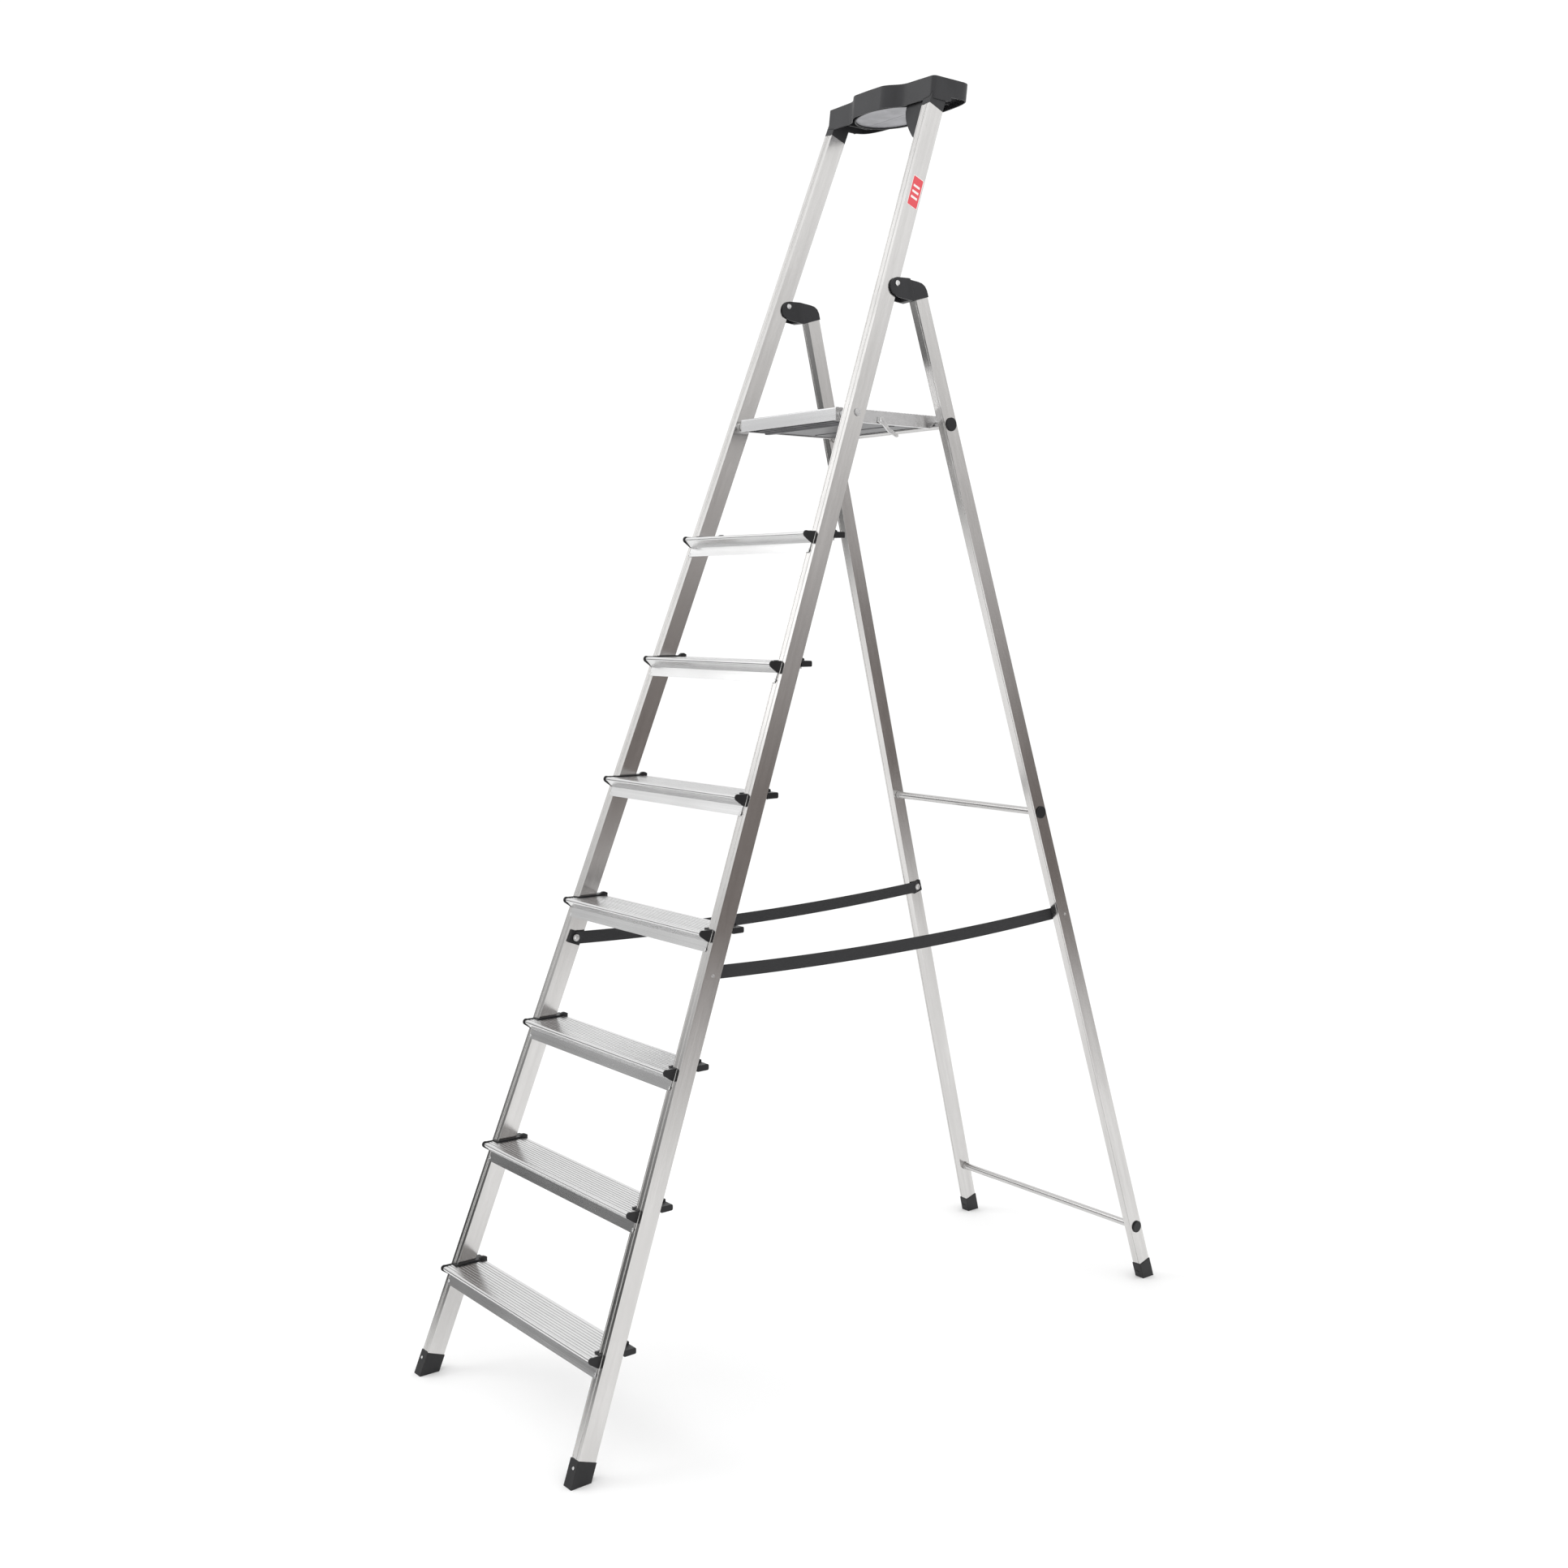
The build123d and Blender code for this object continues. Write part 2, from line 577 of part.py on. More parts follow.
def latch_lever():
    """Bent latch lever on the right rail; its tip hangs behind the rail."""
    y, z = latch_place
    x1 = PLATFORM_HALF_WIDTH + 3.8
    x0 = PLATFORM_HALF_WIDTH + 0.6
    arm = [
        (y - 6, z + 5), (y + 5, z + 6), (y + 11, z - 2), (y + 21, z - 14), (y + 44, z - 25),
        (y + 45, z - 29), (y + 41, z - 31), (y + 20, z - 22), (y + 6, z - 10), (y - 7, z - 5),
    ]
    lever = slab_x(arm, x0, x1)
    return lever - bar_x(LATCH_BOLT_RADIUS + RUNNING_FIT, 100, 200, y, z)


def latch_bolt():
    """Shouldered bolt that the latch lever turns on."""
    y, z = latch_place
    shank = bar_x(LATCH_BOLT_RADIUS, PLATFORM_HALF_WIDTH - RAIL_WALL - 3, PLATFORM_HALF_WIDTH + 4.2, y, z)
    head = Location((PLATFORM_HALF_WIDTH + 4.2, y, z), (0, 90, 0)) * Cone(
        5.0, 3.0, 2.4, align=(Align.CENTER, Align.CENTER, Align.MIN)
    )
    nut = bar_x(5.0, PLATFORM_HALF_WIDTH - RAIL_WALL - 4.0, PLATFORM_HALF_WIDTH - RAIL_WALL, y, z)
    return shank + head + nut


# ---------------------------------------------------------------- tray
def tray_outline(grow=0.0):
    """Plan of the tray: square ends over the stiles and a middle that bulges both ways."""
    front = TRAY_FRONT_Y - grow
    middle = front - TRAY_BULGE
    half = TRAY_HALF_WIDTH + grow
    flat = 38.0 + grow / 2
    shoulder = 88.0
    side_end = TRAY_FRONT_Y + TRAY_SIDE
    rear = TRAY_FRONT_Y + TRAY_DEPTH + grow
    right = [
        Line((0, middle), (flat, middle + 1)),
        Bezier((flat, middle + 1), (flat + 20, middle + 5), (shoulder - 26, front - 4), (shoulder, front - 3)),
        Line((shoulder, front - 3), (half, front)),
        Line((half, front), (half, side_end)),
        Bezier((half, side_end), (half - 1, side_end + 27), (half - 24, rear - 3), (62, rear)),
        Line((62, rear), (0, rear + 2)),
        Line((0, rear + 2), (0, middle)),
    ]
    side = make_face(right)
    return side + mirror(side, about=Plane.YZ)


def tray_prism(grow, low, high):
    """The tray's outline carried up along the leaning band."""
    rise = high - low
    base = Pos(0, TRAY_LEAN * (low - (TRAY_TOP - TRAY_BAND)), low) * tray_outline(grow)
    length = (rise**2 + (TRAY_LEAN * rise) ** 2) ** 0.5
    return extrude(base, length, dir=(0, TRAY_LEAN, 1))


def tray_body():
    """Moulded tray: a deep outer band, a shallow dish on top and a round well in the middle."""
    low = TRAY_TOP - TRAY_BAND
    floor = TRAY_TOP - TRAY_DISH
    body = tray_prism(0.0, low, TRAY_TOP)
    corners = [
        edge for edge in body.edges().filter_by(GeomType.LINE)
        if abs(abs(edge.center().X) - TRAY_HALF_WIDTH) < 1
        and edge.center().Y < TRAY_FRONT_Y + 8
        and edge.length < TRAY_BAND + 2
    ]
    body = fillet(corners, 8.0)
    dish = tray_prism(-8.0, floor, TRAY_TOP + 1)
    under = tray_prism(-TRAY_WALL, low - 1, floor - TRAY_WALL)
    well = Pos(0, WELL_Y, low - 1) * extrude(Ellipse(WELL_HALF_WIDTH, WELL_HALF_DEPTH), TRAY_BAND + 4)
    ring = Ellipse(WELL_HALF_WIDTH + 2.4, WELL_HALF_DEPTH + 2.4)
    skirt = Pos(0, WELL_Y, low + 1) * extrude(ring, TRAY_BAND - TRAY_DISH - 2)
    body = body - dish - under + (skirt & tray_prism(-1.0, low, TRAY_TOP)) - well
    for x in (-112.0, 112.0):
        body += box(x - 1.2, x + 1.2, TRAY_FRONT_Y + 4, TRAY_FRONT_Y + 84, low + 8, floor - 1)
    slot = box(
        TRAY_HALF_WIDTH - 8, TRAY_HALF_WIDTH + 5, TRAY_FRONT_Y + 50, TRAY_FRONT_Y + 72, low - 1, low + 9
    )
    notch = box(-7, 7, TRAY_FRONT_Y + TRAY_DEPTH - 12, TRAY_FRONT_Y + TRAY_DEPTH + 8, low - 1, low + 5)
    lift = [
        (TRAY_FRONT_Y + 34, low - 2), (TRAY_FRONT_Y + 80, low + 10),
        (TRAY_FRONT_Y + 165, low + 13), (TRAY_FRONT_Y + 165, low - 2),
    ]
    keep = Pos(0, WELL_Y, low) * extrude(ring, TRAY_BAND)
    body = body - slot - mirrored(slot) - notch - (slab_x(lift, -200, 200) - keep)
    guard = stile_frame * box(
        -STILE_WIDTH - 0.1, 3.0, -4.0, STILE_DEPTH + 0.1, STILE_TOP - 120, STILE_TOP + 0.1
    )
    core = tray_plug()
    return body - guard - mirrored(guard) - core - mirrored(core)


def tray_disc():
    """Round bottom plate of the tray's well, made in two halves with a fine seam."""
    low = TRAY_TOP - TRAY_BAND + 4.0
    disc = Pos(0, WELL_Y, low) * extrude(Ellipse(WELL_HALF_WIDTH - 0.05, WELL_HALF_DEPTH - 0.05), 2.5)
    return disc - box(-WELL_HALF_WIDTH, WELL_HALF_WIDTH, WELL_Y + 7.6, WELL_Y + 8.6, low - 1, low + 0.8)


def tray_plug():
    """Block that carries the tray on a stile: shoulder above, spigot inside the tube."""
    fit = 0.15
    spigot = box(
        -STILE_WIDTH + STILE_WALL + fit, -STILE_WALL - fit,
        STILE_WALL + fit, STILE_DEPTH - STILE_WALL - fit,
        STILE_TOP - 45, STILE_TOP + 0.5,
    )
    head = box(-STILE_WIDTH, 0, 0, STILE_DEPTH, STILE_TOP + 0.3, STILE_TOP + 34)
    block = stile_frame * (spigot + head)
    return block - box(-400, 400, -500, 500, TRAY_TOP - TRAY_DISH - TRAY_WALL - 0.05, TRAY_TOP + 200)


def tray_gusset():
    """Curved web under the tray, against the right stile's inner face."""
    top = TRAY_TOP - TRAY_BAND - 0.2
    spans = [(0.0, 76.0), (12.0, 66.0), (24.0, 53.0), (36.0, 38.0), (44.0, 25.0), (49.0, 12.0), (50.0, 0.0)]
    curve = [(outer_half(top - drop) - STILE_WIDTH - reach, top - drop) for reach, drop in spans]
    outline = curve + [(outer_half(top), top), (outer_half(top), top - 76.0)]
    wire = Polyline(*[(x, 0, z) for x, z in outline], close=True)
    wedge = Pos(0, front_y(top) - 60, 0) * extrude(make_face(wire), 140.0, dir=(0, 1, 0))
    lane = stile_frame * box(-140, 10, 4.0, 20.0, STILE_TOP - 120, STILE_TOP + 60)
    column = stile_frame * box(-STILE_WIDTH - 0.1, 30, -0.1, STILE_DEPTH + 0.1, 0, STILE_TOP + 80)
    gusset = (wedge & lane) - column
    return gusset.solids().sort_by(SortBy.VOLUME)[-1]


# ---------------------------------------------------------------- sticker
def label():
    """Plain red sticker on the right stile's outer face."""
    return stile_frame * box(0.0, 0.35, 6.5, 33.5, 2386.0, 2446.0)


# ---------------------------------------------------------------- places worked out from the above
FOOT_TOP = 48.0
REAR_FOOT_TOP = 35.0
TREAD_GROOVES = 11
TREAD_GROOVE_PITCH = 6.6
DECK_GROOVE_PITCH = 8.0
LATCH_BOLT_RADIUS = 2.5
latch_place = (axle_y + 92.0, PLATFORM_TOP - 16.0)


def both(maker, *arguments):
    """Right and left copies of a piece."""
    right = maker(*arguments)
    return [right, mirrored(right)]


def main():
    for maker, name, colour in (
        (stile, "stile", ALUMINIUM),
        (front_foot, "front_foot", BLACK),
        (rear_leg, "rear_leg", ALUMINIUM),
        (rear_foot, "rear_foot", BLACK),
        (hinge_bracket, "hinge_bracket", BLACK),
        (platform_rail, "platform_rail", ALUMINIUM),
        (tray_plug, "tray_plug", BLACK),
    ):
        right, left = both(maker)
        save(right, name + "_right", colour)
        save(left, name + "_left", colour)
    save(tray_gusset(), "tray_gusset_right", BLACK)

    for index in range(STEP_COUNT):
        save(step(index), f"step_{index + 1}", ALUMINIUM)
        save(both(step_cap, index), f"step_{index + 1}_end_caps", BLACK)
    save(step_rivets(), "step_rivets", STEEL)
    save(both(foot_rivet), "foot_rivets", STEEL)

    for name, along in ROD_PLACES.items():
        save(cross_rod(along), name, ALUMINIUM)
    plugs = [plug for along in ROD_PLACES.values() for plug in both(rod_plug, along)]
    save(plugs, "rod_plugs", BLACK)

    save(both(hinge_bolt), "hinge_bolts", STEEL)
    save(platform_axle(), "platform_axle", STEEL)
    save(both(axle_sleeve), "axle_sleeves", STEEL)

    save(platform_deck(), "platform_deck", ALUMINIUM)
    save(platform_pan(), "platform_pan", DARK_GREY)
    save(platform_stiffener(), "platform_stiffener", DARK_GREY)
    save(latch_lever(), "latch_lever", STEEL)
    save(latch_bolt(), "latch_bolt", STEEL)

    save(tray_body(), "tray_body", BLACK)
    save(tray_disc(), "tray_disc", GREY)
    save(label(), "label", RED)

    band, length = strap()
    save(band, "strap_right", BLACK)
    save(mirrored(band), "strap_left", BLACK)
    print(f"strap length between bolts: {length:.1f} mm")
    ends = (
        (strap_front, strap_inner_front, -FRONT_LEAN, outer_half(strap_front[1])),
        (strap_rear, strap_inner_rear, REAR_LEAN, leg_face(872.0)),
    )
    plates, bolts, washers = {}, {}, {}
    for (place, inner, tilt, outer), frame in zip(ends, ("front", "rear")):
        save(both(strap_plate, place, inner, tilt), f"strap_plates_{frame}", BLACK)
        save(both(strap_bolt, place, outer), f"strap_bolts_{frame}", STEEL)
        save(both(strap_washer, place), f"strap_washers_{frame}", STEEL)


main()
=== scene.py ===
import json
import math
import bpy
import numpy as np
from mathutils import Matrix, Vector


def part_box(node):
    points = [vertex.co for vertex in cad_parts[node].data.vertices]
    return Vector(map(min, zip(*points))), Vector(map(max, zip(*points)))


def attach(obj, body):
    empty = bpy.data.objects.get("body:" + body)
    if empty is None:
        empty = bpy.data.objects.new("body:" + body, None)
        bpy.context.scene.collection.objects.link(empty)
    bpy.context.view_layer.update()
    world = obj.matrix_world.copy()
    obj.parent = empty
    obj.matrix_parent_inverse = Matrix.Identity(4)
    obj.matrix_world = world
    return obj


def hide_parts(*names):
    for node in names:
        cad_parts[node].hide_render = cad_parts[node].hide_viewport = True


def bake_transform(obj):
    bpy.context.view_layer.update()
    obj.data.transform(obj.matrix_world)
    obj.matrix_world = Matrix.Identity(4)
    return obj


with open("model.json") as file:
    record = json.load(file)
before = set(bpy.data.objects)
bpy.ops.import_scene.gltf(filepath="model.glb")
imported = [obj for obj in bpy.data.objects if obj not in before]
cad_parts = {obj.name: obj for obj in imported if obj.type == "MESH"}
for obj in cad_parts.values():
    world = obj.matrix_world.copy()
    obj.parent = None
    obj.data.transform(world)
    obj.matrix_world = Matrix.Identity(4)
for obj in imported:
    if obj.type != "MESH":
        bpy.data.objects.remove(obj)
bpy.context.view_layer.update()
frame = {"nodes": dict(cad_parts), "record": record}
nodes = frame["nodes"]
record = frame["record"]
slotOf = {part["node"]: part["material_slot"] for part in record["subparts"]}
print("frame loaded:", len(nodes), "nodes")


class Sock:
    # one shader socket; + - * / and comparisons on it add Math nodes
    def __init__(self, tree, link):
        self.tree, self.link = tree, link

    def calc(self, operation, first, second=0.0):
        return addNode(self.tree, "ShaderNodeMath", {"operation": operation}, {0: first, 1: second})

    def __add__(self, other): return self.calc("ADD", self, other)
    def __radd__(self, other): return self.calc("ADD", other, self)
    def __sub__(self, other): return self.calc("SUBTRACT", self, other)
    def __rsub__(self, other): return self.calc("SUBTRACT", other, self)
    def __mul__(self, other): return self.calc("MULTIPLY", self, other)
    def __rmul__(self, other): return self.calc("MULTIPLY", other, self)
    def __truediv__(self, other): return self.calc("DIVIDE", self, other)
    def __gt__(self, other): return self.calc("GREATER_THAN", self, other)
    def __lt__(self, other): return self.calc("LESS_THAN", self, other)


def addNode(tree, kind, settings, sockets, out=0):
    # settings first, such as an operation, then values or links
    node = tree.nodes.new(kind)
    for name, value in settings.items():
        setattr(node, name, value)
    for name, value in sockets.items():
        if isinstance(value, Sock):
            tree.links.new(value.link, node.inputs[name])
        else:
            node.inputs[name].default_value = value
    return Sock(tree, node.outputs[out])


def objectPlace(tree, scale=(1, 1, 1), turn=(0, 0, 0)):
    place = addNode(tree, "ShaderNodeTexCoord", {}, {}, "Object")
    turned = addNode(tree, "ShaderNodeMapping", {"vector_type": "POINT"}, {"Vector": place, "Rotation": turn})
    return addNode(tree, "ShaderNodeVectorMath", {"operation": "MULTIPLY"}, {0: turned, 1: scale})


def noise(tree, place, scale=1.0, detail=2.0, rough=0.5):
    return addNode(tree, "ShaderNodeTexNoise", {}, {
        "Vector": place, "Scale": scale, "Detail": detail, "Roughness": rough})


def spread(tree, value, low, high, newLow, newHigh):
    # low..high becomes newLow..newHigh along a soft S, held at both ends
    return addNode(tree, "ShaderNodeMapRange", {"interpolation_type": "SMOOTHSTEP"}, {
        "Value": value, "From Min": low, "From Max": high, "To Min": newLow, "To Max": newHigh})


def tint(tree, amount, first, second):
    # colour between first and second
    node = tree.nodes.new("ShaderNodeMix")
    node.data_type = "RGBA"
    for index, value in ((0, amount), (6, first), (7, second)):
        if isinstance(value, Sock):
            tree.links.new(value.link, node.inputs[index])
        else:
            node.inputs[index].default_value = (*value, 1) if index else value
    return Sock(tree, node.outputs[2])


def bump(tree, height, strength, distance, normal=None):
    sockets = {"Height": height, "Strength": strength, "Distance": distance}
    if normal:
        sockets["Normal"] = normal
    return addNode(tree, "ShaderNodeBump", {}, sockets)


def roundedNormal(tree, radius):
    return addNode(tree, "ShaderNodeBevel", {"samples": 4}, {"Radius": radius})


def edgeWear(tree, rounded, low=0.02, high=0.22):
    # 1 where the rounded normal leaves the face's own normal, so along edges
    face = addNode(tree, "ShaderNodeNewGeometry", {}, {}, "True Normal")
    along = addNode(tree, "ShaderNodeVectorMath", {"operation": "DOT_PRODUCT"},
                    {0: rounded, 1: face}, "Value")
    return spread(tree, 1 - along, low, high, 0.0, 1.0)


def newMaterial(name):
    material = bpy.data.materials.new(name)
    material.use_nodes = True
    tree = material.node_tree
    tree.nodes.clear()
    return material, tree


def closeMaterial(tree, varying, fixed):
    surface = addNode(tree, "ShaderNodeBsdfPrincipled", {}, {**fixed, **varying})
    output = tree.nodes.new("ShaderNodeOutputMaterial")
    tree.links.new(surface.link, output.inputs["Surface"])


# how the frames stand, in degrees and run per length; the draw lines follow it
stance = {"stileLean": 20.77, "legLean": 16.56, "stileSplay": 0.052}

# aluminium: extruded or rolled, with fine draw lines along the profile
aluminium = {
    "stile": {"colour": (0.70, 0.69, 0.68), "dark": (0.62, 0.61, 0.60), "rough": 0.19, "radius": 0.0007,
              "turn": (math.radians(stance["stileLean"]), 0, 0), "along": 2},
    "leg": {"colour": (0.68, 0.67, 0.66), "dark": (0.59, 0.58, 0.57), "rough": 0.20, "radius": 0.0006,
            "turn": (math.radians(-stance["legLean"]), 0, 0), "along": 2},
    "step": {"colour": (0.74, 0.74, 0.74), "dark": (0.66, 0.66, 0.66), "rough": 0.24, "radius": 0.0002,
             "turn": (0, 0, 0), "along": 0},
    "platform": {"colour": (0.68, 0.68, 0.685), "dark": (0.60, 0.60, 0.605), "rough": 0.26, "radius": 0.0005,
                 "turn": (0, 0, 0), "along": 0},
    # rod: colour and dark tone set lower than the other aluminium, painted shade standing in for the shade
    # the rods show
    "rod": {"colour": (0.60, 0.595, 0.59), "dark": (0.50, 0.49, 0.485), "rough": 0.22, "radius": 0.0004,
            "turn": (0, 0, 0), "along": 0},
}


def aluminiumMaterial(name):
    look = aluminium[name]
    material, tree = newMaterial(name + "Aluminium")
    fine = [1100.0, 1100.0, 1100.0]
    wide = [90.0, 90.0, 90.0]
    fine[look["along"]] = 2.2
    wide[look["along"]] = 0.6
    drawLines = noise(tree, objectPlace(tree, fine, look["turn"]), 1.0, 2.0, 0.5)
    bands = noise(tree, objectPlace(tree, wide, look["turn"]), 1.0, 2.0, 0.5)
    clouds = noise(tree, objectPlace(tree), 5.0, 2.0, 0.5)
    rubs = noise(tree, objectPlace(tree, (45, 45, 45)), 3.0, 4.0, 0.7)
    rubbed = spread(tree, rubs, 0.64, 0.80, 0.0, 1.0)
    rounded = roundedNormal(tree, look["radius"])
    worn = edgeWear(tree, rounded)
    # shade: mostly the long bands and soft clouds, the draw lines only faintly
    shade = spread(tree, drawLines * 0.30 + bands * 0.35 + clouds * 0.35, 0.38, 0.64, 0.0, 1.0)
    colour = tint(tree, shade, look["dark"], look["colour"])
    colour = tint(tree, worn * 0.4, colour, (0.90, 0.90, 0.895))
    rough = look["rough"] + (drawLines - 0.5) * 0.10 + (clouds - 0.5) * 0.10 + rubbed * 0.05 - worn * 0.05
    relief = bump(tree, drawLines, 0.03, 0.0002, rounded)
    closeMaterial(tree, {"Base Color": colour, "Roughness": rough, "Normal": relief},
                  {"Metallic": 1.0})
    return material


# zinc plated steel: the fasteners and other small metal parts in the steel slot

steelLook = {"colour": (0.80, 0.80, 0.79), "dark": (0.56, 0.56, 0.57), "rough": 0.28, "radius": 0.0006}


def steelMaterial():
    material, tree = newMaterial("zincSteel")
    place = objectPlace(tree)
    spots = noise(tree, place, 420.0, 3.0, 0.6)
    clouds = noise(tree, place, 90.0, 2.0, 0.5)
    rounded = roundedNormal(tree, steelLook["radius"])
    worn = edgeWear(tree, rounded)
    shade = spread(tree, spots * 0.6 + clouds * 0.4, 0.35, 0.65, 0.0, 1.0)
    colour = tint(tree, shade, steelLook["dark"], steelLook["colour"])
    colour = tint(tree, worn * 0.4, colour, (0.9, 0.9, 0.9))
    rough = steelLook["rough"] + (clouds - 0.5) * 0.2 + (spots - 0.5) * 0.12
    relief = bump(tree, spots, 0.15, 0.0002, rounded)
    closeMaterial(tree, {"Base Color": colour, "Roughness": rough, "Normal": relief},
                  {"Metallic": 1.0})
    return material


# moulded plastic: fine grain, soft sheen, paler rubbed edges

plastic = {
    "tray": {"colour": (0.022, 0.022, 0.024), "worn": (0.075, 0.075, 0.080),
             "rough": 0.46, "grain": 1500.0, "radius": 0.0014},
    "bracket": {"colour": (0.018, 0.018, 0.020), "worn": (0.070, 0.070, 0.075),
                "rough": 0.42, "grain": 1700.0, "radius": 0.0011},
    "cap": {"colour": (0.010, 0.010, 0.011), "worn": (0.06, 0.06, 0.065),
            "rough": 0.38, "grain": 1900.0, "radius": 0.0008},
    "foot": {"colour": (0.014, 0.014, 0.015), "worn": (0.075, 0.075, 0.078),
             "rough": 0.45, "grain": 1600.0, "radius": 0.0010},
    "grey": {"colour": (0.26, 0.26, 0.275), "worn": (0.56, 0.56, 0.58),
             "rough": 0.42, "grain": 1400.0, "radius": 0.0008},
    "panel": {"colour": (0.095, 0.095, 0.10), "worn": (0.22, 0.22, 0.22),
              "rough": 0.40, "grain": 1200.0, "radius": 0.0008},
}


def plasticMaterial(name):
    look = plastic[name]
    material, tree = newMaterial(name + "Plastic")
    place = objectPlace(tree)
    grain = noise(tree, place, look["grain"], 2.0, 0.6)
    flow = noise(tree, objectPlace(tree, (30, 30, 12)), 1.0, 3.0, 0.55)
    dust = spread(tree, noise(tree, place, 55.0, 5.0, 0.7), 0.56, 0.80, 0.0, 1.0)
    rounded = roundedNormal(tree, look["radius"])
    worn = edgeWear(tree, rounded)
    paler = tuple(min(1, channel * 1.35) for channel in look["colour"])
    colour = tint(tree, spread(tree, flow, 0.3, 0.7, 0.0, 1.0), look["colour"], paler)
    colour = tint(tree, dust * 0.16, colour, look["worn"])
    colour = tint(tree, worn * 0.45, colour, look["worn"])
    rough = look["rough"] + (flow - 0.5) * 0.12 + dust * 0.10 + (grain - 0.5) * 0.10
    relief = bump(tree, grain, 0.22, 0.00022, rounded)
    closeMaterial(tree, {"Base Color": colour, "Roughness": rough, "Normal": relief},
                  {"Specular IOR Level": 0.32})
    return material


# webbing: twill ribs across and along the band, from the strap's own map

webbing = {"colour": (0.012, 0.012, 0.013), "light": (0.042, 0.042, 0.045), "ribs": 11.0, "picks": 620.0}


def webbingMaterial():
    material, tree = newMaterial("webbing")
    flat = addNode(tree, "ShaderNodeTexCoord", {}, {}, "UV")
    across = addNode(tree, "ShaderNodeSeparateXYZ", {}, {"Vector": flat}, "X")
    along = addNode(tree, "ShaderNodeSeparateXYZ", {}, {"Vector": flat}, "Y")
    # herringbone: the pick's phase climbs with the distance from each rib's middle
    rib = addNode(tree, "ShaderNodeMath", {"operation": "PINGPONG"}, {0: across * webbing["ribs"], 1: 0.5})
    phase = (along * webbing["picks"] + rib * 2.0) * 6.2832  # in turns, times a full turn
    pick = addNode(tree, "ShaderNodeMath", {"operation": "SINE"}, {0: phase})
    thread = (pick * 0.5 + 0.5) * 0.6 + rib * 0.8
    fuzz = noise(tree, objectPlace(tree), 900.0, 3.0, 0.7)
    colour = tint(tree, thread * 0.55 + fuzz * 0.35, webbing["colour"], webbing["light"])
    closeMaterial(tree, {"Base Color": colour, "Roughness": 0.62 + fuzz * 0.25,
                         "Normal": bump(tree, thread + fuzz * 0.3, 0.55, 0.0005)},
                  {"Sheen Weight": 0.12, "Sheen Roughness": 0.4, "Specular IOR Level": 0.3})
    return material


# sticker: red film with a pale border and three plain bars, from its own map

# border and bars are shares of the film: the bars start at inset, run from below to above
sticker = {"red": (0.72, 0.045, 0.065), "pale": (0.86, 0.82, 0.80), "border": 0.045,
           "bars": {"inset": 0.20, "below": 0.22, "above": 0.78, "count": 3.0, "gap": 0.30}}


def stickerMaterial():
    material, tree = newMaterial("stickerFilm")
    flat = addNode(tree, "ShaderNodeTexCoord", {}, {}, "UV")
    across = addNode(tree, "ShaderNodeSeparateXYZ", {}, {"Vector": flat}, "X")
    along = addNode(tree, "ShaderNodeSeparateXYZ", {}, {"Vector": flat}, "Y")
    # distance to the nearest edge, in widths of the film
    sideWays = addNode(tree, "ShaderNodeMath", {"operation": "PINGPONG"}, {0: across, 1: 0.5})
    lengthWays = addNode(tree, "ShaderNodeMath", {"operation": "PINGPONG"}, {0: along, 1: 0.5}) * 2.2
    nearest = addNode(tree, "ShaderNodeMath", {"operation": "MINIMUM"}, {0: sideWays, 1: lengthWays})
    border = nearest < sticker["border"]
    bar = sticker["bars"]
    inside = (sideWays > bar["inset"]) * (along > bar["below"]) * (along < bar["above"])
    step = (along - bar["below"]) / (bar["above"] - bar["below"]) * bar["count"]
    wave = addNode(tree, "ShaderNodeMath", {"operation": "FRACT"}, {0: step})
    bars = inside * (wave > bar["gap"]) * (wave < 1 - bar["gap"])
    dots = noise(tree, objectPlace(tree), 2500.0, 2.0, 0.5)
    scuffs = spread(tree, noise(tree, objectPlace(tree), 160.0, 4.0, 0.7), 0.60, 0.78, 0.0, 1.0)
    red = tint(tree, dots * 0.25, sticker["red"], (0.80, 0.10, 0.11))
    colour = tint(tree, border + bars, red, sticker["pale"])
    colour = tint(tree, scuffs * 0.12, colour, (0.8, 0.78, 0.76))
    closeMaterial(tree, {"Base Color": colour, "Roughness": 0.30 + scuffs * 0.25,
                         "Normal": bump(tree, dots, 0.08, 0.0001)},
                  {"Coat Weight": 0.3, "Coat Roughness": 0.15})
    return material


materials = {
    "stile_aluminium": aluminiumMaterial("stile"),
    "step_aluminium": aluminiumMaterial("step"),
    "platform_aluminium": aluminiumMaterial("platform"),
    "rod_aluminium": aluminiumMaterial("rod"),
    "steel": steelMaterial(),
    "tray_plastic": plasticMaterial("tray"),
    "bracket_plastic": plasticMaterial("bracket"),
    "cap_plastic": plasticMaterial("cap"),
    "foot_plastic": plasticMaterial("foot"),
    "grey_plastic": plasticMaterial("grey"),
    "panel_grey": plasticMaterial("panel"),
    "webbing": webbingMaterial(),
    "sticker": stickerMaterial(),
}
legAluminium = aluminiumMaterial("leg")


def paint(piece, material):
    if not piece.material_slots:
        piece.data.materials.append(material)
    for place in piece.material_slots:
        place.link = "OBJECT"
        place.material = material


for name, node in nodes.items():
    paint(node, legAluminium if name.startswith("rear_leg") else materials[slotOf[name]])
print("materials made:", len(materials) + 1)


